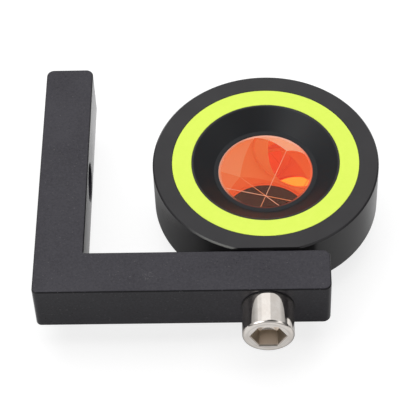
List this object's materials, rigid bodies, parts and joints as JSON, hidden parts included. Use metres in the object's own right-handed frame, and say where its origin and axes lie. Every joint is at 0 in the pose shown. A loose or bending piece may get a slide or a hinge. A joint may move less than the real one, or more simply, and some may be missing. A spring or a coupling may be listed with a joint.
{
  "type": "l-bar surveying prism",
  "caption": "Corner-cube prism in a round black sighting head with a bright target ring, clamped by a socket screw to an L-shaped wall bar so that it can be tilted.",
  "frame": {"origin": "middle of the wall bore in the wall arm, on the face that meets the wall, level with the line of sight", "axes": "+X along the wall bore away from the wall, towards the line of sight; +Y along the wall arm away from the clamp screw; +Z along the line of sight, towards the instrument"},
  "size_m": [0.09, 0.0849, 0.0252],
  "materials": {
    "anodised_bar": "satin black anodised, lightly bead blasted",
    "anodised_head": "satin black anodised, turned",
    "nickel_plate": "bright nickel plate",
    "black_washer": "moulded nylon",
    "slip_polymer": "black low friction sheet",
    "insert_steel": "turned stainless steel",
    "signal_yellow": "fluorescent yellow green, smooth",
    "seal_rubber": "moulded rubber",
    "coated_glass": "polished optical glass, copper coating on the three rear facets",
    "white_nylon": "turned nylon",
    "cushion_silicone": "moulded silicone",
    "spring_steel": "blued spring steel"
  },
  "bodies": {
    "bar": {"l_bar": "anodised_bar", "slip_washer": "slip_polymer"},
    "head": {"housing": "anodised_head", "thread_insert": "insert_steel", "sighting_ring": "signal_yellow", "front_seal": "seal_rubber", "corner_prism": "coated_glass", "centring_sleeve": "white_nylon", "prism_cushion": "cushion_silicone", "disc_spring": "spring_steel", "lock_ring": "anodised_head", "cap_seal": "seal_rubber", "rear_cap": "anodised_head"},
    "washer": {"head_washer": "black_washer"},
    "screw": {"clamp_screw": "nickel_plate"}
  },
  "joints": [
    {"name": "prism_tilt", "type": "hinge", "parent": "bar", "child": "head", "pos_m": [0.06, -0.0286, 0], "axis": [0, -1, 0], "continuous": true},
    {"name": "screw_travel", "type": "slide", "parent": "bar", "child": "washer", "axis": [0, -1, 0], "range_m": [0, 0.00626]},
    {"name": "clamp_turn", "type": "hinge", "parent": "washer", "child": "screw", "pos_m": [0.06, -0.0417, 0], "axis": [0, -1, 0], "range_deg": [0, 1800]}
  ],
  "couplings": [
    {"joint": "screw_travel", "follows": "clamp_turn", "m_per_rad": 0.00019894}
  ]
}
